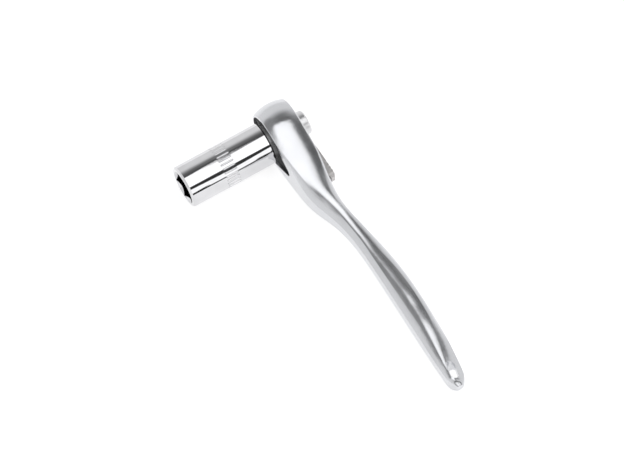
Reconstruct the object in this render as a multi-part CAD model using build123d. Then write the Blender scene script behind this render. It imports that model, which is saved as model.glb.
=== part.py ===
from build123d import *
import os
from math import cos, degrees, hypot, radians, sin

# Mini ratchet with a fitted hexagon socket.
# The origin is on the drive axis, at the drive-side face of the head.
# +X runs along the handle, +Y along the drive axis towards the release button, +Z sideways.

# Fits and clearances
running_gap = 0.05
face_gap = 0.05
press_gap = 0.01
side_play = 0.1
cut_overrun = 3.0

# Head and handle, one forging
head_thickness = 9.0
handle_length = 88.5
back_wall = 1.6
recess_depth = 1.7

# Hanging slot in the handle's end
slot_length = 5.0
slot_width = 2.0
slot_end_distance = 4.4
slot_y = 7.3
slot_chamfer = 0.3
slot_tilt = -12

# Cover plate
plate_thickness = 1.0
plate_screw_margin = 0.95
plate_rim_width = 1.7
plate_tail_radius = 2.1
plate_tail_shift = 0.2
plate_edge_chamfer = 0.15

# Cover screws
screw_radius = 0.48
screw_head_radius = 0.85
screw_head_depth = 0.4
screw_head_land = 0.08
screw_shank_length = 3.4
screw_socket_radius = 0.32
screw_socket_depth = 0.3
screw_wall = 0.85
screw_angles = (180, 66, -66)

# Ratchet gear with its hubs and its square
tooth_count = 48
gear_tip_radius = 5.35
tooth_depth = 0.4
tooth_tip_share = 0.16
tooth_root_share = 0.16
hub_step = 0.35
front_hub_proud = 0.45
back_hub_inset = 0.15
square_size = 6.3
square_length = 6.95
square_corner_radius = 4.15
square_tip_chamfer = 0.5

# Thrust washer and seal ring of the gear
washer_thickness = 0.3
hub_seal_radius = 0.24
hub_seal_groove_width = 0.6

# Release button, its rod, spring and stop ring
button_proud = 2.75
button_edge_chamfer = 0.4
button_dish_radius = 2.3
button_dish_depth = 0.12
button_travel = 1.8
button_flange_step = 0.35
button_flange_thickness = 0.8
rod_radius = 1.1
rod_tip_room = 0.15
rod_grip_depth = 1.9
release_wire_radius = 0.2
release_coil_radius = 1.85
release_turns = 6
spring_pocket_radius = 2.4
spring_pocket_floor = 1.6
stop_ring_wall = 0.55
stop_ring_overlap = 0.35
stop_ring_thickness = 0.3
stop_ring_inset = 0.35
stop_ring_opening = 40

# Locking ball in the square
ball_radius = 1.04
ball_gap = 0.04
ball_depth = 3.75
ball_travel = 0.32
rod_waist_length = 2.7
rod_waist_return = 0.5

# Pawl and its pin
pawl_half_length = 3.9
pawl_back_distance = 2.0
pawl_arc_inset = 0.4
pawl_pin_radius = 0.5
pawl_pin_distance = 1.2
pawl_pin_seat = 0.9
pawl_tip_gap = 0.07
pawl_rock = 4.5
pocket_radius = 4.75
pocket_inset = 1.35
tooth_side_gap = 0.06
pawl_teeth_share = 0.17

# Reversing lever, its shaft, clip and seal ring
lever_distance = 1.75
lever_shaft_radius = 1.5
lever_chamber_radius = 1.9
lever_root_radius = 2.0
lever_root_thickness = 0.65
lever_clear = 0.15
lever_length = 9.5
lever_tip_half_width = 2.0
lever_corner_radius = 1.4
lever_tip_rise = 0.3
lever_tip_thickness = 1.7
lever_tip_round = 0.75
lever_rib_count = 4
lever_rib_depth = 0.1
lever_rib_width = 0.45
lever_rib_pitch = 1.1
shaft_grip_depth = 0.4
clip_radius = 1.8
clip_thickness = 0.3
clip_groove_depth = 0.3
clip_opening = 60
lever_seal_radius = 0.15
lever_seal_groove_depth = 0.3
lever_seal_groove_width = 0.4

# Detent plunger and its spring
plunger_radius = 0.5
plunger_length = 1.2
plunger_hole_length = 2.75
detent_wire_radius = 0.08
detent_coil_radius = 0.36
detent_turns = 6

# Socket
socket_length = 25.0
socket_radius = 5.9
socket_drive_size = 6.46
socket_drive_depth = 8.5
socket_drive_chamfer = 0.35
socket_bore_radius = 3.2
socket_hex_size = 8.1
socket_hex_depth = 12.5
socket_mouth_chamfer = 0.45
socket_hex_chamfer = 0.9
socket_detent_radius = 3.6
socket_detent_width = 2.1
groove_count = 32
groove_band_start = 11.1
groove_band_length = 3.2
groove_depth = 0.22
groove_width = 0.55

# Radii and places along the handle that follow the gear
chamber_radius = gear_tip_radius + side_play
washer_radius = gear_tip_radius - tooth_depth
hub_radius = washer_radius - hub_step
stop_ring_radius = hub_radius - stop_ring_wall
button_flange_radius = stop_ring_radius - stop_ring_overlap
button_radius = button_flange_radius - button_flange_step
pocket_x = gear_tip_radius - pocket_inset
pawl_pin_x = gear_tip_radius + pawl_pin_distance
pawl_back_x = gear_tip_radius + pawl_back_distance
lever_x = pawl_back_x + lever_distance
screw_circle_radius = chamber_radius + screw_wall
plate_radius = screw_circle_radius + plate_screw_margin
plate_tail_x = lever_x + plate_tail_shift
head_radius = plate_radius + plate_rim_width
slot_x = handle_length - slot_end_distance

# Places along the drive axis that several pieces share
plate_inner_y = recess_depth
plate_outer_y = recess_depth - plate_thickness
chamber_floor_y = head_thickness - back_wall
washer_face_y = chamber_floor_y - washer_thickness
gear_front_y = plate_inner_y + face_gap
gear_back_y = washer_face_y - face_gap
shoulder_y = -front_hub_proud
hub_back_y = head_thickness - back_hub_inset
square_tip_y = shoulder_y - square_length
button_top_y = head_thickness + button_proud
stop_ring_top_y = hub_back_y - stop_ring_inset
stop_ring_low_y = stop_ring_top_y - stop_ring_thickness
flange_top_y = stop_ring_low_y - face_gap
flange_low_y = flange_top_y - button_flange_thickness
button_floor_y = flange_low_y - button_travel - face_gap
ball_y = shoulder_y - ball_depth
screw_seat_y = plate_outer_y + screw_head_depth
socket_top_y = shoulder_y - face_gap
socket_mouth_y = socket_top_y - socket_length

# Cross-sections of the forging. Each row gives a place along the handle, then four corners of the
# right half: the drive face's edge, the side's two edges and the back face's edge, each as a share
# of the head's radius (sideways) and of its thickness (along Y). The last three shares are the
# bulges of the low corner, of the side and of the high corner, of their own widths.
# The head's places are shares of its radius, the handle's are shares of the rest of the length.
head_section_shares = (
    (0.00, (0.866, 0.000), (0.888, 0.022), (0.930, 0.950), (0.875, 1.000), 0.13, 0.100, 0.15),
    (0.30, (0.849, 0.000), (0.874, 0.022), (0.899, 0.950), (0.845, 1.000), 0.13, 0.095, 0.15),
    (0.70, (0.777, 0.000), (0.807, 0.028), (0.806, 0.948), (0.752, 0.999), 0.10, 0.090, 0.15),
    (1.20, (0.659, 0.000), (0.726, 0.061), (0.706, 0.930), (0.640, 0.992), 0.08, 0.080, 0.15),
    (1.66, (0.514, 0.000), (0.642, 0.122), (0.620, 0.865), (0.520, 0.944), 0.06, 0.084, 0.15),
    (2.11, (0.397, 0.011), (0.559, 0.190), (0.565, 0.755), (0.415, 0.883), 0.05, 0.100, 0.15),
)
handle_section_shares = (
    (0.073, (0.296, 0.106), (0.475, 0.317), (0.531, 0.656), (0.307, 0.833), 0.05, 0.115, 0.153),
    (0.145, (0.246, 0.289), (0.419, 0.489), (0.460, 0.706), (0.246, 0.844), 0.05, 0.097, 0.200),
    (0.217, (0.229, 0.422), (0.374, 0.583), (0.404, 0.789), (0.207, 0.950), 0.04, 0.085, 0.187),
    (0.289, (0.223, 0.489), (0.352, 0.642), (0.385, 0.856), (0.196, 1.050), 0.03, 0.075, 0.172),
    (0.361, (0.223, 0.511), (0.346, 0.658), (0.385, 0.933), (0.201, 1.144), 0.03, 0.075, 0.143),
    (0.433, (0.223, 0.516), (0.346, 0.661), (0.404, 1.022), (0.218, 1.206), 0.03, 0.090, 0.137),
    (0.504, (0.223, 0.513), (0.352, 0.667), (0.419, 1.078), (0.235, 1.239), 0.04, 0.100, 0.150),
    (0.576, (0.223, 0.511), (0.362, 0.670), (0.447, 1.100), (0.246, 1.250), 0.05, 0.100, 0.155),
    (0.648, (0.229, 0.506), (0.369, 0.678), (0.450, 1.089), (0.257, 1.244), 0.05, 0.093, 0.158),
    (0.720, (0.235, 0.502), (0.385, 0.683), (0.442, 1.056), (0.257, 1.228), 0.05, 0.106, 0.130),
    (0.792, (0.235, 0.502), (0.369, 0.678), (0.410, 0.945), (0.230, 1.206), 0.05, 0.100, 0.080),
    (0.863, (0.229, 0.500), (0.352, 0.667), (0.372, 0.820), (0.150, 1.167), 0.05, 0.090, 0.050),
    (0.928, (0.223, 0.508), (0.330, 0.635), (0.336, 0.755), (0.085, 1.110), 0.06, 0.110, 0.020),
    (0.966, (0.212, 0.528), (0.300, 0.633), (0.304, 0.745), (0.078, 1.050), 0.08, 0.130, 0.030),
    (0.985, (0.165, 0.578), (0.235, 0.655), (0.238, 0.752), (0.086, 0.976), 0.10, 0.130, 0.070),
    (1.000, (0.090, 0.665), (0.130, 0.700), (0.132, 0.765), (0.056, 0.889), 0.12, 0.130, 0.080),
)
half_turn = 180
full_turn = 360
hexagon_sides = 6


def along_y(y_place):
    """Plane across the drive axis, whose own +Z is the row's +Y and own +X the row's +X."""
    return Plane(origin=(0, y_place, 0), x_dir=(1, 0, 0), z_dir=(0, 1, 0))


def prism(outline, y_low, y_high):
    """Solid with a flat outline, from one place on the drive axis to another."""
    return extrude(along_y(y_low) * outline, amount=y_high - y_low)


def cylinder_y(radius, y_low, y_high, x_place=0.0):
    """Round bar along Y, whose axis passes through x_place."""
    return prism(Pos(x_place, 0) * Circle(radius), y_low, y_high)


def bar_x(radius, y_place, x_low, x_high):
    """Round bar along X, from one place on the handle's line to another."""
    start = Plane(origin=(x_low, y_place, 0), z_dir=(1, 0, 0))
    return extrude(start * Circle(radius), amount=x_high - x_low)


def turned(points):
    """Solid of revolution about the drive axis, from points given as (radius, y)."""
    return revolve(make_face(Polyline(*points, close=True)), axis=Axis.Y)


def split_ring(inner_radius, outer_radius, y_low, y_high, opening, x_place=0.0):
    """Flat open ring of spring steel, with its opening towards -X."""
    band = Circle(outer_radius) - Circle(inner_radius)
    reach = outer_radius + cut_overrun
    half = reach * sin(radians(opening / 2))
    mouth = make_face(Polyline((0, 0), (-reach, half), (-reach, -half), close=True))
    return Pos(x_place, 0, 0) * prism(band - mouth, y_low, y_high)


def seal_ring(middle_radius, wire_radius, y_place, x_place=0.0):
    """Round rubber ring about a line along Y."""
    section = Pos(middle_radius, y_place) * Circle(wire_radius)
    return Pos(x_place, 0, 0) * revolve(section, axis=Axis.Y)


def coil_spring(start, direction, length, coil_radius, wire_radius, turns):
    """Helical spring whose wire stays between start and start + length."""
    helix_length = length - wire_radius * 2
    first = Vector(*start) + Vector(*direction) * wire_radius
    path = Helix(
        pitch=helix_length / turns, height=helix_length, radius=coil_radius,
        center=first, direction=direction,
    )
    section = Plane(origin=path @ 0, z_dir=path % 0) * Circle(wire_radius)
    return sweep(section, path=path)


def bulged(first, last, bulge_share, inside):
    """Edge from first to last that bulges away from the point inside by a share of its chord."""
    first, last, inside = Vector(*first), Vector(*last), Vector(*inside)
    chord = last - first
    outward = Vector(0, chord.Z, -chord.Y).normalized()
    middle = (first + last) / 2
    if outward.dot(middle - inside) < 0:
        outward = -outward
    return Edge.make_three_point_arc(first, middle + outward * chord.length * bulge_share, last)


def make_rows():
    """Rows of all the cross-sections, each with its real place along the handle."""
    neck_x = head_section_shares[-1][0] * head_radius
    rest = handle_length - neck_x
    head = [(share * head_radius, *corners) for share, *corners in head_section_shares]
    return head + [(neck_x + share * rest, *corners) for share, *corners in handle_section_shares]


def section_wire(x_place, drive_edge, low_edge, high_edge, back_edge, *bulges):
    """Closed cross-section of the forging, square to the handle."""
    right = [
        (x_place, y * head_thickness, z * head_radius)
        for z, y in (drive_edge, low_edge, high_edge, back_edge)
    ]
    left = [(x, y, -z) for x, y, z in right]
    inside = (x_place, (right[0][1] + right[3][1]) / 2, 0)
    edges = [bulged(right[i], right[i + 1], bulges[i], inside) for i in range(3)]
    edges.append(Edge.make_line(right[3], left[3]))
    edges += [bulged(left[i + 1], left[i], bulges[i], inside) for i in reversed(range(3))]
    edges.append(Edge.make_line(left[0], right[0]))
    return Wire(edges)


def make_blank():
    """Head and handle before any hole is cut: a turned nose and a lofted handle."""
    wires = [section_wire(*row) for row in make_rows()]
    handle = Solid.make_loft(wires)
    half = split(make_face(wires[0].edges()), bisect_by=Plane.XY, keep=Keep.BOTTOM)
    nose = revolve(half, axis=Axis.Y, revolution_arc=half_turn)
    return handle + nose


def plate_outline(grow):
    """Teardrop of the cover plate, larger all round by grow."""
    nose = Circle(plate_radius + grow)
    tail = Pos(plate_tail_x, 0) * Circle(plate_tail_radius + grow)
    return make_hull(nose.edges() + tail.edges())


def screw_places():
    """Centres of the cover screws on the plane across the drive axis."""
    return [
        (screw_circle_radius * cos(radians(a)), screw_circle_radius * sin(radians(a)))
        for a in screw_angles
    ]


def screw_holes(radius, y_low, y_high):
    """Straight holes at every cover screw."""
    return [
        prism(Pos(x, z) * Circle(radius), y_low, y_high) for x, z in screw_places()
    ]


def screw_solid(grow, y_top):
    """Countersunk screw on the drive axis: its head faces -Y."""
    shank = screw_radius + grow
    head = screw_head_radius + grow
    end_y = screw_seat_y + screw_shank_length
    return turned([
        (0, y_top), (head, y_top), (head, plate_outer_y + screw_head_land),
        (shank, screw_seat_y), (shank, end_y), (0, end_y),
    ])


def make_handle_body():
    """The forging, with its chamber, bores, screw holes and hanging slot."""
    body = make_blank()
    beyond = head_thickness + cut_overrun
    body -= prism(plate_outline(running_gap), -cut_overrun, plate_inner_y)
    body -= cylinder_y(chamber_radius, plate_outer_y, chamber_floor_y)
    body -= cylinder_y(pocket_radius, plate_outer_y, chamber_floor_y, pocket_x)
    body -= cylinder_y(lever_chamber_radius, plate_outer_y, chamber_floor_y, lever_x)
    body -= cylinder_y(hub_radius + running_gap, plate_outer_y, beyond)
    body -= cylinder_y(lever_shaft_radius + running_gap, plate_outer_y, beyond, lever_x)
    groove_low = (chamber_floor_y + head_thickness - hub_seal_groove_width) / 2
    groove_radius = hub_radius + running_gap + hub_seal_radius * 2
    body -= cylinder_y(groove_radius, groove_low, groove_low + hub_seal_groove_width)
    body -= cylinder_y(
        pawl_pin_radius + press_gap, plate_outer_y, chamber_floor_y + pawl_pin_seat, pawl_pin_x
    )
    hole_floor = screw_seat_y + screw_shank_length + side_play
    for hole in screw_holes(screw_radius + press_gap, plate_outer_y, hole_floor):
        body -= hole
    return body - hanging_slot()


def slot_crest():
    """Distance of the side's crest from the middle plane at the row nearest to the slot."""
    row = min(make_rows(), key=lambda row: abs(row[0] - slot_x))
    (low_z, low_y), (high_z, high_y), side_share = row[2], row[3], row[6]
    edge = (low_z + high_z) / 2 * head_radius
    return edge + (high_y - low_y) * head_thickness * side_share


def hanging_slot():
    """Cutter of the hanging slot, with a chamfer on each side of the handle."""
    place = Pos(slot_x, slot_y) * Rot(0, 0, slot_tilt)
    side = slot_crest()
    straight = extrude(place * SlotOverall(slot_length, slot_width), amount=head_radius, both=True)
    flare = side + slot_chamfer
    wide = place * SlotOverall(slot_length + flare * 2, slot_width + flare * 2)
    narrow = place * SlotOverall(slot_length, slot_width)
    level = side - slot_chamfer
    mouth = loft([Pos(0, 0, level) * narrow, Pos(0, 0, level + flare) * wide])
    return straight + mouth + mirror(mouth, about=Plane.XY)


def make_cover_plate():
    """Dark plate that closes the drive side of the head."""
    plate = prism(plate_outline(0), plate_outer_y, plate_inner_y)
    rim = plate.faces().sort_by(Axis.Y)[0].outer_wire().edges()
    plate = chamfer(rim, plate_edge_chamfer)
    plate -= cylinder_y(hub_radius + running_gap, -cut_overrun, plate_inner_y + cut_overrun)
    cutter = screw_solid(press_gap, plate_outer_y - cut_overrun)
    for x, z in screw_places():
        plate -= Pos(x, 0, -z) * cutter
    return plate


def make_cover_screws():
    """Three countersunk screws with hexagon sockets."""
    screw = screw_solid(0, plate_outer_y)
    key = RegularPolygon(screw_socket_radius, hexagon_sides)
    screw -= prism(key, plate_outer_y - cut_overrun, plate_outer_y + screw_socket_depth)
    return Compound(children=[Pos(x, 0, -z) * screw for x, z in screw_places()])


def tooth_outline(tip_radius, root_radius, first_tooth, last_tooth, close_at_centre):
    """Outline of the ratchet teeth from one tooth to another, tooth 0 lying on +X."""
    pitch = full_turn / tooth_count
    tip_half = pitch * tooth_tip_share / 2
    root_half = pitch * (1 - tooth_root_share) / 2
    corners = ((root_radius, -root_half), (tip_radius, -tip_half),
               (tip_radius, tip_half), (root_radius, root_half))
    points = [
        (r * cos(radians(i * pitch + a)), r * sin(radians(i * pitch + a)))
        for i in range(first_tooth, last_tooth + 1) for r, a in corners
    ]
    if close_at_centre:
        points.append((0, 0))
    return make_face(Polyline(*points, close=True))


def make_drive_gear():
    """Ratchet gear, its two hubs and the drive square, turned and broached from one bar."""
    root = gear_tip_radius - tooth_depth
    wheel = prism(
        tooth_outline(gear_tip_radius, root, 0, tooth_count - 1, False), gear_front_y, gear_back_y
    )
    gear = wheel + cylinder_y(hub_radius, shoulder_y, hub_back_y)
    square = prism(Rectangle(square_size, square_size), square_tip_y, shoulder_y)
    chamfer_radius = square_corner_radius - square_tip_chamfer
    gear += square & turned([
        (0, square_tip_y), (chamfer_radius, square_tip_y),
        (square_corner_radius, square_tip_y + square_tip_chamfer),
        (square_corner_radius, shoulder_y), (0, shoulder_y),
    ])
    gear -= cylinder_y(button_flange_radius + running_gap, button_floor_y, hub_back_y + cut_overrun)
    gear -= cylinder_y(spring_pocket_radius, spring_pocket_floor, button_floor_y)
    gear -= cylinder_y(
        rod_radius + running_gap, rod_low_y() - button_travel - rod_tip_room, spring_pocket_floor
    )
    gear -= cylinder_y(
        stop_ring_radius + running_gap, stop_ring_low_y - face_gap, stop_ring_top_y + face_gap
    )
    return gear - bar_x(ball_radius + ball_gap, ball_y, 0, square_size)


def rod_low_y():
    """Lower end of the release rod at rest, a little below the locking ball."""
    return ball_y - ball_radius


def make_release_rod():
    """Rod under the button: its waist lets the ball in when the button is pressed."""
    waist_radius = rod_radius - ball_travel * rod_waist_length / button_travel
    waist_y = ball_y + rod_waist_length
    top_y = button_top_y - rod_grip_depth
    tip = rod_radius / 2
    return turned([
        (0, rod_low_y()), (tip, rod_low_y()), (rod_radius, rod_low_y() + rod_radius - tip),
        (rod_radius, ball_y), (waist_radius, waist_y),
        (rod_radius, waist_y + rod_waist_return), (rod_radius, top_y), (0, top_y),
    ])


def make_release_button():
    """Polished button that slides in the gear's back hub."""
    chamfer_y = button_top_y - button_edge_chamfer
    face_radius = button_radius - button_edge_chamfer
    button = turned([
        (0, flange_low_y), (button_flange_radius, flange_low_y),
        (button_flange_radius, flange_top_y), (button_radius, flange_top_y),
        (button_radius, chamfer_y), (face_radius, button_top_y),
        (button_dish_radius, button_top_y), (0, button_top_y - button_dish_depth),
    ])
    top_y = button_top_y - rod_grip_depth + press_gap
    return button - cylinder_y(rod_radius + press_gap, flange_low_y - cut_overrun, top_y)


def pawl_outline():
    """Crescent between the gear and the lever's shaft, with teeth at both of its ends."""
    blank = Pos(pocket_x, 0) * Circle(pocket_radius - pawl_arc_inset)
    blank -= Circle(gear_tip_radius + pawl_tip_gap)
    blank &= Pos(pawl_back_x / 2, 0) * Rectangle(pawl_back_x, pawl_half_length * 2)
    reach_teeth = round(tooth_count * pawl_teeth_share)
    side_angle = degrees(tooth_side_gap / gear_tip_radius)
    cutter = tooth_outline(
        gear_tip_radius + tooth_side_gap, gear_tip_radius - tooth_depth, -reach_teeth,
        reach_teeth, True,
    )
    pivot = Pos(pawl_pin_x, 0)
    for rock in (-pawl_rock, -pawl_rock / 2, pawl_rock / 2, pawl_rock):
        for turn in (-side_angle, side_angle):
            blank -= pivot * Rot(0, 0, rock) * Pos(-pawl_pin_x, 0) * Rot(0, 0, turn) * cutter
    return blank - Pos(pawl_pin_x, 0) * Circle(pawl_pin_radius + running_gap)


def make_pawl():
    """Double-ended pawl that rocks on its pin."""
    pawl = prism(pawl_outline(), gear_front_y, gear_back_y)
    return pawl.solids().sort_by(SortBy.VOLUME)[-1]


def lever_blank():
    """Side view of the reversing lever drawn as its thickness, cut to its plan view."""
    low = head_thickness + lever_clear
    top = low + lever_root_thickness
    tip_x = lever_x + lever_length
    tip_top = top + lever_tip_rise
    heel = lever_x - lever_root_radius
    toe = lever_x + lever_root_radius
    side = make_face(Polyline(
        (heel, low), (toe, low), (tip_x - lever_tip_round, tip_top - lever_tip_thickness),
        (tip_x, tip_top - lever_tip_thickness + lever_tip_round / 2),
        (tip_x, tip_top - lever_tip_round / 2), (tip_x - lever_tip_round, tip_top), (heel, top),
        close=True,
    ))
    blank = extrude(side, amount=lever_tip_half_width, both=True)
    root = Pos(lever_x, 0) * Circle(lever_root_radius)
    corner_z = lever_tip_half_width - lever_corner_radius
    corners = [
        Pos(tip_x - lever_corner_radius, z) * Circle(lever_corner_radius)
        for z in (-corner_z, corner_z)
    ]
    plan = make_hull(root.edges() + corners[0].edges() + corners[1].edges())
    return blank & prism(plan, low - cut_overrun, tip_top + cut_overrun)


def make_reversing_lever():
    """Thumb lever with shallow ribs across its outer face."""
    lever = lever_blank()
    top = head_thickness + lever_clear + lever_root_thickness + lever_tip_rise
    last_x = lever_x + lever_length - lever_tip_round - lever_rib_width
    for i in range(lever_rib_count):
        place = Pos(last_x - i * lever_rib_pitch, 0)
        groove = place * Rectangle(lever_rib_width, (lever_tip_half_width + cut_overrun) * 2)
        lever -= prism(groove, top - lever_rib_depth - lever_tip_rise, top + cut_overrun)
    grip_y = head_thickness + lever_clear + shaft_grip_depth
    return lever - cylinder_y(lever_shaft_radius + press_gap, head_thickness, grip_y, lever_x)


def seal_y():
    """Middle of both seal rings, half-way through the back wall."""
    return (chamber_floor_y + head_thickness) / 2


def plunger_y():
    """Height of the detent plunger, half-way through the chamber."""
    return (plate_inner_y + chamber_floor_y) / 2


def make_lever_shaft():
    """Bright shaft of the lever, with a cross hole for the detent and two grooves."""
    clip_top = chamber_floor_y - face_gap
    clip_low = clip_top - clip_thickness
    shaft = cylinder_y(
        lever_shaft_radius, gear_front_y, head_thickness + lever_clear + shaft_grip_depth, lever_x
    )
    band = Circle(lever_shaft_radius + cut_overrun) - Circle(lever_shaft_radius - clip_groove_depth)
    shaft -= Pos(lever_x, 0, 0) * prism(band, clip_low - press_gap, clip_top + press_gap)
    seal_low = seal_y() - lever_seal_groove_width / 2
    band = Circle(lever_shaft_radius + cut_overrun)
    band -= Circle(lever_shaft_radius - lever_seal_groove_depth)
    shaft -= Pos(lever_x, 0, 0) * prism(band, seal_low, seal_low + lever_seal_groove_width)
    hole_start = pawl_back_x + face_gap
    hole_end = hole_start + plunger_hole_length + face_gap
    return shaft - bar_x(plunger_radius + running_gap, plunger_y(), pawl_back_x, hole_end)


def make_detent_plunger():
    """Round-nosed plunger that presses on the pawl's back."""
    tip_x = pawl_back_x + face_gap
    bar = bar_x(plunger_radius, plunger_y(), tip_x, tip_x + plunger_length)
    nose = bar.edges().group_by(Axis.X)[0]
    return fillet(nose, plunger_radius / 2)


def make_detent_spring():
    """Small spring behind the detent plunger."""
    start = pawl_back_x + face_gap + plunger_length + press_gap
    length = plunger_hole_length - plunger_length - press_gap
    return coil_spring(
        (start, plunger_y(), 0), (1, 0, 0), length, detent_coil_radius, detent_wire_radius,
        detent_turns,
    )


def make_socket():
    """Hexagon socket: square drive hole, clearance bore, hexagon mouth and grip band."""
    top, mouth = socket_top_y, socket_mouth_y
    chamfer_radius = socket_radius - socket_mouth_chamfer
    socket = turned([
        (0, mouth), (chamfer_radius, mouth), (socket_radius, mouth + socket_mouth_chamfer),
        (socket_radius, top - socket_mouth_chamfer), (chamfer_radius, top), (0, top),
    ])
    drive_floor = top - socket_drive_depth
    hex_floor = mouth + socket_hex_depth
    socket -= prism(Rectangle(socket_drive_size, socket_drive_size), drive_floor, top + cut_overrun)
    socket -= cylinder_y(socket_bore_radius, hex_floor, drive_floor)
    half_side_angle = half_turn / hexagon_sides
    hexagon = RegularPolygon(
        socket_hex_size / 2, hexagon_sides, major_radius=False, rotation=half_side_angle
    )
    socket -= prism(hexagon, mouth - cut_overrun, hex_floor)
    lead = hypot(socket_drive_size, socket_drive_size) / 2
    socket -= turned([
        (0, top - socket_drive_chamfer), (lead - socket_drive_chamfer, top - socket_drive_chamfer),
        (lead, top), (lead, top + cut_overrun), (0, top + cut_overrun),
    ])
    corner = socket_hex_size / 2 / cos(radians(half_side_angle))
    socket -= turned([
        (0, mouth - cut_overrun), (corner, mouth - cut_overrun), (corner, mouth),
        (corner - socket_hex_chamfer, mouth + socket_hex_chamfer),
        (0, mouth + socket_hex_chamfer),
    ])
    socket -= cylinder_y(
        socket_detent_radius, ball_y - socket_detent_width / 2, ball_y + socket_detent_width / 2
    )
    return socket - grip_grooves()


def grip_grooves():
    """Cutters of the short lengthwise grooves round the socket."""
    low = socket_top_y - groove_band_start - groove_band_length
    depth_radius = socket_radius - groove_depth + groove_width / 2
    bar = cylinder_y(groove_width / 2, low, low + groove_band_length, depth_radius)
    ends = [Pos(depth_radius, y, 0) * Sphere(groove_width / 2)
            for y in (low, low + groove_band_length)]
    cutter = bar + ends[0] + ends[1]
    return [Rot(0, i * full_turn / groove_count, 0) * cutter for i in range(groove_count)]


def make_parts():
    """Every piece by its node's name, in the row's frame."""
    return {
        "handle_body": make_handle_body(),
        "cover_plate": make_cover_plate(),
        "cover_screws": make_cover_screws(),
        "drive_gear": make_drive_gear(),
        "gear_thrust_washer": prism(
            Circle(washer_radius) - Circle(hub_radius + running_gap), washer_face_y, chamber_floor_y
        ),
        "hub_seal_ring": seal_ring(
            hub_radius + running_gap + hub_seal_radius, hub_seal_radius - press_gap, seal_y()
        ),
        "pawl": make_pawl(),
        "pawl_pin": cylinder_y(
            pawl_pin_radius, gear_front_y, chamber_floor_y + pawl_pin_seat, pawl_pin_x
        ),
        "reversing_lever": make_reversing_lever(),
        "lever_shaft": make_lever_shaft(),
        "lever_clip": split_ring(
            lever_shaft_radius - clip_groove_depth + press_gap, clip_radius,
            chamber_floor_y - face_gap - clip_thickness, chamber_floor_y - face_gap,
            clip_opening, lever_x,
        ),
        "lever_seal_ring": seal_ring(
            lever_shaft_radius - lever_seal_groove_depth + press_gap + lever_seal_radius,
            lever_seal_radius, seal_y(), lever_x,
        ),
        "detent_plunger": make_detent_plunger(),
        "detent_spring": make_detent_spring(),
        "release_button": make_release_button(),
        "release_rod": make_release_rod(),
        "release_spring": coil_spring(
            (0, spring_pocket_floor, 0), (0, 1, 0), flange_low_y - spring_pocket_floor,
            release_coil_radius, release_wire_radius, release_turns,
        ),
        "button_stop_ring": split_ring(
            button_radius + running_gap, stop_ring_radius, stop_ring_low_y, stop_ring_top_y,
            stop_ring_opening,
        ),
        "locking_ball": Pos(rod_radius + ball_gap + ball_radius, ball_y, 0) * Sphere(ball_radius),
        "socket": make_socket(),
    }


os.makedirs("parts", exist_ok=True)
for node, shape in make_parts().items():
    export_step(shape, f"parts/{node}.step")
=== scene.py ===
"""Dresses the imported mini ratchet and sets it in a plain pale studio."""
import logging
from dataclasses import dataclass
from enum import Enum
from math import cos, pi, radians, sin, sqrt
from typing import ClassVar

import bpy
from mathutils import Matrix, Vector


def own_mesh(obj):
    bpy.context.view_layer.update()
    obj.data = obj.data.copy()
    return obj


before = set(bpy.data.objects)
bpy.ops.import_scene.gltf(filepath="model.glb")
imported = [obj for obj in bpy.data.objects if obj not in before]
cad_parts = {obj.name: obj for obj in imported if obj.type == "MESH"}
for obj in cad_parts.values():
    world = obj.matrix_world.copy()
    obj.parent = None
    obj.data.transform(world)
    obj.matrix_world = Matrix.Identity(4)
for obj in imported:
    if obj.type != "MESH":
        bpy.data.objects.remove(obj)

MM = 0.001
LOG = logging.getLogger("mini_ratchet")

Colour = tuple[float, float, float]
Point = tuple[float, float, float]

WHITE: Colour = (1.0, 1.0, 1.0)
BLACK: Colour = (0.0, 0.0, 0.0)

# A noise pattern seldom leaves this range.
PATTERN_LOW = 0.3
PATTERN_HIGH = 0.7

# Corners of a flat panel, as shares of half its size.
PANEL_CORNERS = ((-1, -1), (1, -1), (1, 1), (-1, 1))


class Working(Enum):
    """Way in which a surface was worked: how its grain is drawn out along X, Y and Z."""

    EVEN = (1.0, 1.0, 1.0)
    ALONG_HANDLE = (0.12, 1.0, 1.0)
    ROUND_DRIVE_AXIS = (1.0, 9.0, 1.0)


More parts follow.
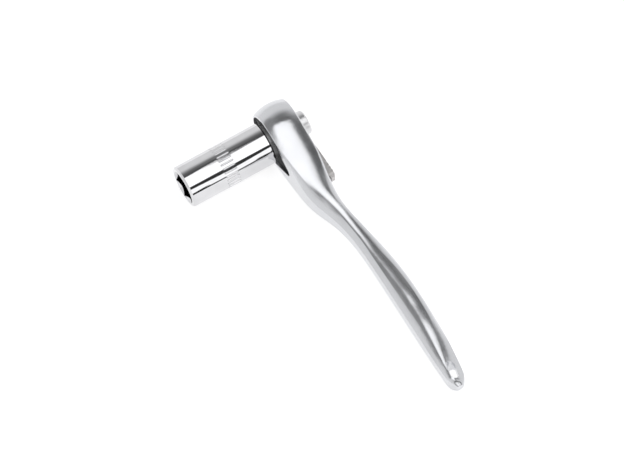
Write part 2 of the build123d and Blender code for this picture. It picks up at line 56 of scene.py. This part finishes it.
class NodeBench:
    """A material under construction, with short calls to add and join its nodes."""

    def __init__(self, name: str) -> None:
        """Starts an empty material that has a surface shader and object coordinates.

        Args:
            name: Name of the material.
        """
        self.material = bpy.data.materials.new(name)
        self.material.use_nodes = True
        self.tree = self.material.node_tree
        self.tree.nodes.clear()
        output = self.tree.nodes.new("ShaderNodeOutputMaterial")
        self.shader = self.tree.nodes.new("ShaderNodeBsdfPrincipled")
        self.join(self.shader, "BSDF", output, "Surface")
        self.place = self.tree.nodes.new("ShaderNodeTexCoord")

    def join(self, source: bpy.types.Node, out: str, target: bpy.types.Node, into: str) -> None:
        """Links one node's output to another node's input."""
        self.tree.links.new(source.outputs[out], target.inputs[into])

    def stretched(self, working: Working, turn: float = 0.0) -> bpy.types.Node:
        """Gives object coordinates drawn out the way the surface was worked.

        Args:
            working: How the grain is drawn out.
            turn: Turn about Y in radians, so that two grains can cross.

        Returns:
            The mapping node.
        """
        mapping = self.tree.nodes.new("ShaderNodeMapping")
        mapping.inputs["Scale"].default_value = working.value
        mapping.inputs["Rotation"].default_value = (0.0, turn, 0.0)
        self.join(self.place, "Object", mapping, "Vector")
        return mapping

    def noise(self, source: bpy.types.Node, grain: float, octaves: float) -> bpy.types.Node:
        """Adds a noise pattern.

        Args:
            source: Mapping node that gives the coordinates.
            grain: Size of the pattern in metres.
            octaves: Octaves of finer pattern.

        Returns:
            The noise node.
        """
        noise = self.tree.nodes.new("ShaderNodeTexNoise")
        noise.inputs["Scale"].default_value = 1.0 / grain
        noise.inputs["Detail"].default_value = octaves
        self.join(source, "Vector", noise, "Vector")
        return noise

    def blend(
        self, source: bpy.types.Node, stops: tuple[float, float], low: Colour, high: Colour,
    ) -> bpy.types.Node:
        """Turns a noise pattern into a blend of two colours.

        Args:
            source: Noise node.
            stops: Values of the pattern where the blend starts and ends.
            low: Colour up to the first stop.
            high: Colour from the second stop.

        Returns:
            The colour ramp node.
        """
        ramp = self.tree.nodes.new("ShaderNodeValToRGB")
        for element, stop, colour in zip(ramp.color_ramp.elements, stops, (low, high)):
            element.position = stop
            element.color = (*colour, 1.0)
        self.join(source, "Fac", ramp, "Fac")
        return ramp

    def span(self, source: bpy.types.Node, low: float, high: float) -> bpy.types.Node:
        """Maps the usual values of a noise pattern to the range from low to high.

        Args:
            source: Noise node.
            low: Result where the pattern is low.
            high: Result where the pattern is high.

        Returns:
            The range node.
        """
        span = self.tree.nodes.new("ShaderNodeMapRange")
        span.inputs["From Min"].default_value = PATTERN_LOW
        span.inputs["From Max"].default_value = PATTERN_HIGH
        span.inputs["To Min"].default_value = low
        span.inputs["To Max"].default_value = high
        self.join(source, "Fac", span, "Value")
        return span

    def bump(
        self, source: bpy.types.Node, depth: float, strength: float,
        under: bpy.types.Node | None = None,
    ) -> bpy.types.Node:
        """Adds relief to the surface.

        Args:
            source: Noise node that gives the height.
            depth: Height of the relief in metres.
            strength: Share of the relief that shows.
            under: Coarser relief that this one lies on.

        Returns:
            The bump node.
        """
        bump = self.tree.nodes.new("ShaderNodeBump")
        bump.inputs["Distance"].default_value = depth
        bump.inputs["Strength"].default_value = strength
        self.join(source, "Fac", bump, "Height")
        if under is not None:
            self.join(under, "Normal", bump, "Normal")
        return bump


@dataclass(frozen=True)
class Metal:
    """Plated, ground or polished metal.

    Grain, wave, their depths and hair_grain are in metres, hair_turn is in radians, and scratch
    is what a hairline adds to the roughness. The stops are values of the noise patterns.
    """

    name: str
    colour: Colour
    rough_low: float
    rough_high: float
    grain: float
    grain_depth: float
    wave: float
    scratch: float
    shade: float = 0.94
    working: Working = Working.EVEN
    wave_depth: float = 0.004 * MM
    octaves: float = 2.0
    tint_stops: tuple[float, float] = (0.3, 0.62)
    wave_strength: float = 1.0
    grain_strength: float = 0.6
    hair_turn: float = 0.35
    hair_grain: float = 0.25 * MM
    hair_octaves: float = 1.0
    hair_stops: tuple[float, float] = (0.55, 0.7)

    def material(self) -> bpy.types.Material:
        """Builds the finish.

        Returns:
            The finished material.
        """
        bench = NodeBench(self.name)
        bench.shader.inputs["Metallic"].default_value = 1.0
        cloud = bench.noise(bench.stretched(Working.EVEN), self.wave, self.octaves)
        fine = bench.noise(bench.stretched(self.working), self.grain, self.octaves)
        darker = tuple(c * self.shade for c in self.colour)
        tint = bench.blend(cloud, self.tint_stops, darker, self.colour)
        bench.join(tint, "Color", bench.shader, "Base Color")
        rough = bench.span(cloud, self.rough_low, self.rough_high)
        total = bench.tree.nodes.new("ShaderNodeMath")
        total.operation = "MULTIPLY_ADD"
        hairs = self.hairlines(bench)
        factor, share, added = total.inputs
        bench.tree.links.new(hairs.outputs["Color"], factor)
        share.default_value = self.scratch
        bench.tree.links.new(rough.outputs["Result"], added)
        bench.join(total, "Value", bench.shader, "Roughness")
        wavy = bench.bump(cloud, self.wave_depth, self.wave_strength)
        grainy = bench.bump(fine, self.grain_depth, self.grain_strength, wavy)
        bench.join(grainy, "Normal", bench.shader, "Normal")
        return bench.material

    def hairlines(self, bench: NodeBench) -> bpy.types.Node:
        """Adds a mask of fine handling scratches.

        Args:
            bench: Material under construction.

        Returns:
            A node whose Color output is white on the scratches.
        """
        slanted = bench.stretched(Working.ALONG_HANDLE, self.hair_turn)
        lines = bench.noise(slanted, self.hair_grain, self.hair_octaves)
        return bench.blend(lines, self.hair_stops, BLACK, WHITE)


@dataclass(frozen=True)
class Coating:
    """Black oxide skin, rubber or the grey skin of a casting.

    Grain and its depth are in metres, and cloud_ratio is the size of the coarse pattern in grains.
    """

    name: str
    colour: Colour
    light_colour: Colour
    rough_low: float
    rough_high: float
    grain: float
    grain_depth: float
    metallic: float = 0.0
    specular: float = 0.3
    octaves: float = 3.0
    cloud_ratio: float = 9.0
    tint_stops: tuple[float, float] = (0.35, 0.7)
    cloud_strength: float = 0.5
    grain_strength: float = 0.9

    def material(self) -> bpy.types.Material:
        """Builds the finish.

        Returns:
            The finished material.
        """
        bench = NodeBench(self.name)
        bench.shader.inputs["Metallic"].default_value = self.metallic
        bench.shader.inputs["Specular IOR Level"].default_value = self.specular
        even = bench.stretched(Working.EVEN)
        fine = bench.noise(even, self.grain, self.octaves)
        cloud = bench.noise(even, self.grain * self.cloud_ratio, self.octaves)
        tint = bench.blend(fine, self.tint_stops, self.colour, self.light_colour)
        bench.join(tint, "Color", bench.shader, "Base Color")
        rough = bench.span(cloud, self.rough_low, self.rough_high)
        bench.join(rough, "Result", bench.shader, "Roughness")
        coarse = bench.bump(cloud, self.grain_depth, self.cloud_strength)
        grainy = bench.bump(fine, self.grain_depth, self.grain_strength, coarse)
        bench.join(grainy, "Normal", bench.shader, "Normal")
        return bench.material


SATIN_CHROME = Metal(
    "satin_chrome_forging", (0.65, 0.657, 0.68), rough_low=0.2, rough_high=0.25,
    working=Working.ALONG_HANDLE, grain=0.3 * MM, grain_depth=0.0015 * MM, wave=8.0 * MM,
    wave_depth=0.003 * MM, scratch=0.01,
)
MIRROR_CHROME = Metal(
    "mirror_chrome_socket", (0.66, 0.66, 0.675), rough_low=0.03, rough_high=0.05,
    working=Working.ROUND_DRIVE_AXIS, grain=0.4 * MM, grain_depth=0.0006 * MM, wave=4.0 * MM,
    wave_depth=0.003 * MM, scratch=0.04,
)
POLISHED_CHROME = Metal(
    "polished_chrome_button", (0.7, 0.7, 0.71), rough_low=0.3, rough_high=0.36,
    working=Working.ROUND_DRIVE_AXIS, grain=0.3 * MM, grain_depth=0.001 * MM, wave=2.0 * MM,
    wave_depth=0.003 * MM, scratch=0.06,
)
BRIGHT_STEEL = Metal(
    "ground_steel", (0.52, 0.52, 0.53), rough_low=0.2, rough_high=0.32, grain=0.15 * MM,
    grain_depth=0.004 * MM, wave=2.0 * MM, scratch=0.12,
)
DARK_STEEL = Metal(
    "dark_spring_steel", (0.1, 0.1, 0.105), shade=0.8, rough_low=0.3, rough_high=0.42,
    grain=0.15 * MM, grain_depth=0.004 * MM, wave=1.5 * MM, scratch=0.1,
)
BLACK_PLATE = Coating(
    "black_oxide_plate", (0.017, 0.017, 0.018), (0.024, 0.024, 0.025), specular=0.12,
    rough_low=0.5, rough_high=0.62, grain=0.2 * MM, grain_depth=0.008 * MM,
)
CAST_LEVER = Coating(
    "grey_cast_lever", (0.5, 0.485, 0.48), (0.62, 0.605, 0.6), metallic=1.0,
    rough_low=0.42, rough_high=0.55, grain=0.3 * MM, grain_depth=0.03 * MM,
)
BLACK_RUBBER = Coating(
    "black_seal_rubber", (0.018, 0.018, 0.018), (0.03, 0.03, 0.03),
    rough_low=0.5, rough_high=0.65, grain=0.1 * MM, grain_depth=0.005 * MM,
)


def dress(name: str, material: bpy.types.Material) -> None:
    """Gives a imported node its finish.

    Args:
        name: Name of the node.
        material: Finish of the whole node.
    """
    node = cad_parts[name]
    node.data.materials.clear()
    node.data.materials.append(material)
    LOG.info("dressed %s with %s", name, material.name)


def squash_spring(name: str) -> None:
    """Gives a packed spring its own copy of its mesh; the spring keeps its imported length.

    Args:
        name: Node of the spring.
    """
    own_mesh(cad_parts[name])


@dataclass
class Head:
    """Forged head and handle with its cover and the pieces fixed in it."""

    forging: Metal = SATIN_CHROME
    cover: Coating = BLACK_PLATE
    screws: Metal = DARK_STEEL
    inner: Metal = BRIGHT_STEEL
    seal: Coating = BLACK_RUBBER

    def dress(self) -> None:
        """Gives every piece of the head its finish."""
        dress("handle_body", self.forging.material())
        dress("cover_plate", self.cover.material())
        dress("cover_screws", self.screws.material())
        dress("hub_seal_ring", self.seal.material())
        for name in ("gear_thrust_washer", "pawl_pin"):
            dress(name, self.inner.material())


@dataclass
class Drive:
    """Ratchet gear with its square, locking ball and release button."""

    gear: Metal = POLISHED_CHROME
    ring: Metal = DARK_STEEL
    inner: Metal = BRIGHT_STEEL

    def dress(self) -> None:
        """Gives every piece of the drive its finish, and its spring its own copy of its mesh."""
        dress("drive_gear", self.gear.material())
        dress("release_button", self.gear.material())
        dress("button_stop_ring", self.ring.material())
        for name in ("release_rod", "release_spring", "locking_ball"):
            dress(name, self.inner.material())
        squash_spring("release_spring")


@dataclass
class Reverser:
    """Reversing lever with its shaft, detent and pawl."""

    lever: Coating = CAST_LEVER
    inner: Metal = BRIGHT_STEEL
    clip: Metal = DARK_STEEL
    seal: Coating = BLACK_RUBBER

    def dress(self) -> None:
        """Gives every piece of the reverser its finish, and its spring its own copy of its mesh.
        """
        dress("reversing_lever", self.lever.material())
        dress("lever_clip", self.clip.material())
        dress("lever_seal_ring", self.seal.material())
        for name in ("lever_shaft", "detent_plunger", "detent_spring", "pawl"):
            dress(name, self.inner.material())
        squash_spring("detent_spring")


@dataclass
class FittedSocket:
    """Hexagon socket that is fitted to the square."""

    skin: Metal = MIRROR_CHROME

    def dress(self) -> None:
        """Gives the socket its finish."""
        dress("socket", self.skin.material())


def add_object(name: str, data: bpy.types.ID) -> bpy.types.Object:
    """Makes an object and links it to the scene.

    Args:
        name: Name of the object.
        data: Its mesh, lamp or camera.

    Returns:
        The new object.
    """
    made = bpy.data.objects.new(name, data)
    bpy.context.scene.collection.objects.link(made)
    LOG.info("added %s", name)
    return made


def add_face(name: str, corners: list[Point]) -> bpy.types.Object:
    """Adds a flat object with one face.

    Args:
        name: Name of the object and its mesh.
        corners: Four corners in order.

    Returns:
        The new object.
    """
    mesh = bpy.data.meshes.new(name)
    mesh.from_pydata(corners, [], [tuple(range(len(corners)))])
    return add_object(name, mesh)


def standing(x_axis: Vector, y_axis: Vector, z_axis: Vector, place: Vector) -> Matrix:
    """Builds a matrix from an object's three axes and its place.

    Args:
        x_axis: Direction of its own +X.
        y_axis: Direction of its own +Y.
        z_axis: Direction of its own +Z.
        place: Where it stands.

    Returns:
        The object's matrix.
    """
    matrix = Matrix((x_axis, y_axis, z_axis)).transposed().to_4x4()
    matrix.translation = place
    return matrix


def ray_level(tree: bpy.types.NodeTree, unseen: float, seen: float) -> bpy.types.NodeSocket:
    """Tells the light that is seen from the light that falls on the object.

    Args:
        tree: Node tree of the floor or of the world.
        unseen: Level for the light that falls on the object.
        seen: Level for what the camera sees, straight, mirrored or through glass.

    Returns:
        The output that gives the level.
    """
    rays = tree.nodes.new("ShaderNodeLightPath")
    seen_ray = rays.outputs["Is Camera Ray"]
    for name in ("Is Glossy Ray", "Is Transmission Ray"):
        larger = tree.nodes.new("ShaderNodeMath")
        larger.operation = "MAXIMUM"
        tree.links.new(seen_ray, larger.inputs[0])
        tree.links.new(rays.outputs[name], larger.inputs[1])
        seen_ray = larger.outputs[0]
    level = tree.nodes.new("ShaderNodeMapRange")
    level.inputs["To Min"].default_value = unseen
    level.inputs["To Max"].default_value = seen
    tree.links.new(seen_ray, level.inputs["Value"])
    return level.outputs["Result"]


@dataclass
class Panel:
    """Flat panel of the studio that faces the object.

    Right and front are shares of a unit vector from the object to the panel, width and depth are
    in metres, and spin is the turn of the width away from the picture's right, in degrees.
    """

    distance: ClassVar[float]
    name: str
    right: float
    front: float
    width: float
    depth: float
    spin: float

    def facing(self, studio: "Studio") -> Matrix:
        """Places the panel so that it faces the middle of the object.

        Args:
            studio: Studio that gives the middle and the directions.

        Returns:
            The panel's matrix, whose own +Z points away from the object.
        """
        right, front, up = studio.directions()
        rise = sqrt(1.0 - self.right ** 2 - self.front ** 2)
        away = right * self.right + front * self.front + up * rise
        turn = radians(self.spin)
        side = right * cos(turn) + front * sin(turn)
        side = (side - away * side.dot(away)).normalized()
        place = Vector(studio.centre) + away * self.distance
        return standing(side, away.cross(side), away, place)


@dataclass
class Softbox(Panel):
    """Flat lamp. One that isn't mirrored lights the object but doesn't show in its chrome."""

    distance: ClassVar[float] = 0.6
    radiance: float
    mirrored: bool = True

    def build(self, studio: "Studio") -> None:
        """Hangs the lamp.

        Args:
            studio: Studio that the lamp hangs in.
        """
        lamp = bpy.data.lights.new(self.name, "AREA")
        lamp.shape = "RECTANGLE"
        lamp.size, lamp.size_y = self.width, self.depth
        lamp.energy = self.radiance * pi * self.width * self.depth
        holder = add_object(self.name, lamp)
        holder.matrix_world = self.facing(studio)
        holder.visible_camera = False
        holder.visible_glossy = self.mirrored


@dataclass
class DarkCard(Panel):
    """Dark card that only shows as a reflection, as behind a lamp in a real studio."""

    distance: ClassVar[float] = 0.9
    shade: float = 0.1

    def build(self, studio: "Studio") -> None:
        """Hangs the card.

        Args:
            studio: Studio that the card hangs in.
        """
        half_width, half_depth = self.width / 2, self.depth / 2
        card = add_face(self.name, [(x * half_width, y * half_depth, 0.0)
                                    for x, y in PANEL_CORNERS])
        card.matrix_world = self.facing(studio)
        card.visible_camera = card.visible_diffuse = card.visible_shadow = False
        material = bpy.data.materials.new(self.name)
        material.use_nodes = True
        shader = material.node_tree.nodes["Principled BSDF"].inputs
        shader["Base Color"].default_value = (*BLACK, 1.0)
        shader["Roughness"].default_value = 1.0
        shader["Specular IOR Level"].default_value = 0.0
        shader["Emission Color"].default_value = (*WHITE, 1.0)
        shader["Emission Strength"].default_value = self.shade
        card.data.materials.append(material)


@dataclass
class Studio:
    """Pale floor, plain surroundings, soft lamps, dark cards and the camera.

    Places and distances are in metres in the frame of the tool, lens and sensor in millimetres.
    The sky's shade changes between low_height and top_height, the upward part of a unit vector.
    Its strength is unseen_strength for the light that falls on the tool, and seen_strength for
    what the camera sees, straight or mirrored. The floor's glow is only seen.
    """

    centre: Point = (0.02335, -0.00075, -0.011)
    to_camera: Point = (0.416, -0.182, 0.891)
    picture_up: Point = (-0.760, 0.469, 0.450)
    camera_distance: float = 4.539
    lens: float = 1000.0
    sensor: float = 36.0
    clip_near: float = 0.01
    clip_far: float = 20.0
    floor_point: Point = (0.0, 0.0045, -0.00905)
    floor_slope_x: float = 0.0665
    floor_slope_y: float = -0.1037
    floor_half: float = 6.0
    floor_shade: float = 0.56
    floor_glow: float = 0.71
    low_height: float = 0.5
    low_shade: float = 0.95
    top_height: float = 0.95
    top_shade: float = 0.12
    unseen_strength: float = 0.45
    seen_strength: float = 1.0

    def build(self) -> None:
        """Builds the whole studio."""
        self.build_floor()
        self.build_surroundings()
        for panel in (*self.lamps(), *self.cards()):
            panel.build(self)
        self.build_camera()

    def directions(self) -> tuple[Vector, Vector, Vector]:
        """Unit vectors to the picture's right, to its front and up from the floor."""
        up = Vector((-self.floor_slope_x, -self.floor_slope_y, 1.0)).normalized()
        front = Vector(self.to_camera)
        front = (front - up * front.dot(up)).normalized()
        return up.cross(front), front, up

    def lamps(self) -> list[Softbox]:
        """Lists the soft lamps."""
        return [
            Softbox("overhead_softbox", -0.035, 0.24, 0.57, 0.57, -9.0, 1.5),
            Softbox("front_softbox", 0.58, 0.72, 0.6, 0.25, -37.0, 1.45),
            Softbox("key_lamp", 0.4, -0.35, 0.4, 0.4, 0.0, 2.4, mirrored=False),
        ]

    def cards(self) -> list[DarkCard]:
        """Lists the dark cards."""
        return [
            DarkCard("front_dark_card", 0.575, 0.735, 1.4, 0.84, -38.0, 0.05),
            DarkCard("back_dark_card", 0.66, -0.28, 0.5, 0.32, -26.0),
            DarkCard("left_dark_card", -0.70, 0.0, 0.36, 1.0, 0.0, 0.28),
        ]

    def build_floor(self) -> None:
        """Lays the floor under the three points that the tool rests on."""
        x0, y0, z0 = self.floor_point
        corners = []
        for side_x, side_y in PANEL_CORNERS:
            x, y = side_x * self.floor_half, side_y * self.floor_half
            z = z0 + (x - x0) * self.floor_slope_x + (y - y0) * self.floor_slope_y
            corners.append((x, y, z))
        floor = add_face("floor", corners)
        floor.data.materials.append(self.floor_material())

    def floor_material(self) -> bpy.types.Material:
        """Builds the floor's matte grey, which takes the object's shadow, and a glow seen over it.

        Returns:
            The floor's material.
        """
        material = bpy.data.materials.new("pale_floor")
        material.use_nodes = True
        tree = material.node_tree
        tree.nodes.clear()
        output = tree.nodes.new("ShaderNodeOutputMaterial")
        matte = tree.nodes.new("ShaderNodeBsdfDiffuse")
        shade = self.floor_shade
        matte.inputs["Color"].default_value = (shade, shade, shade, 1.0)
        glow = tree.nodes.new("ShaderNodeEmission")
        total = tree.nodes.new("ShaderNodeAddShader")
        tree.links.new(ray_level(tree, 0.0, self.floor_glow), glow.inputs["Strength"])
        tree.links.new(matte.outputs[0], total.inputs[0])
        tree.links.new(glow.outputs[0], total.inputs[1])
        tree.links.new(total.outputs[0], output.inputs["Surface"])
        return material

    def build_surroundings(self) -> None:
        """Surrounds the scene with a pale sky, darker overhead, that lights less than it shows."""
        world = bpy.data.worlds.new("studio")
        bpy.context.scene.world = world
        world.use_nodes = True
        tree = world.node_tree
        tree.nodes.clear()
        output = tree.nodes.new("ShaderNodeOutputWorld")
        background = tree.nodes.new("ShaderNodeBackground")
        place = tree.nodes.new("ShaderNodeTexCoord")
        rise = tree.nodes.new("ShaderNodeVectorMath")
        rise.operation = "DOT_PRODUCT"
        rise.inputs[1].default_value = self.directions()[2]
        ramp = tree.nodes.new("ShaderNodeValToRGB")
        ramp.color_ramp.interpolation = "EASE"
        stops = ((self.low_height, self.low_shade), (self.top_height, self.top_shade))
        for element, (height, shade) in zip(ramp.color_ramp.elements, stops):
            element.position = height
            element.color = (shade, shade, shade, 1.0)
        tree.links.new(place.outputs["Generated"], rise.inputs[0])
        tree.links.new(rise.outputs["Value"], ramp.inputs["Fac"])
        tree.links.new(ramp.outputs["Color"], background.inputs["Color"])
        strength = ray_level(tree, self.unseen_strength, self.seen_strength)
        tree.links.new(strength, background.inputs["Strength"])
        tree.links.new(background.outputs[0], output.inputs["Surface"])

    def build_camera(self) -> None:
        """Sets the camera at the photograph's viewing angle."""
        data = bpy.data.cameras.new("camera")
        data.lens = self.lens
        data.sensor_width = self.sensor
        data.clip_start, data.clip_end = self.clip_near, self.clip_far
        camera = add_object("camera", data)
        back = Vector(self.to_camera).normalized()
        up = Vector(self.picture_up)
        up = (up - back * up.dot(back)).normalized()
        place = Vector(self.centre) + back * self.camera_distance
        camera.matrix_world = standing(up.cross(back), up, back, place)
        bpy.context.scene.camera = camera


def main() -> None:
    """Builds and dresses every sub-assembly in order."""
    logging.basicConfig(level=logging.INFO, format="%(message)s")
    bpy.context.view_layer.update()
    bpy.context.scene.view_settings.view_transform = "Standard"
    for assembly in (Head(), Drive(), Reverser(), FittedSocket()):
        assembly.dress()
    Studio().build()


if __name__ == "__main__":
    main()
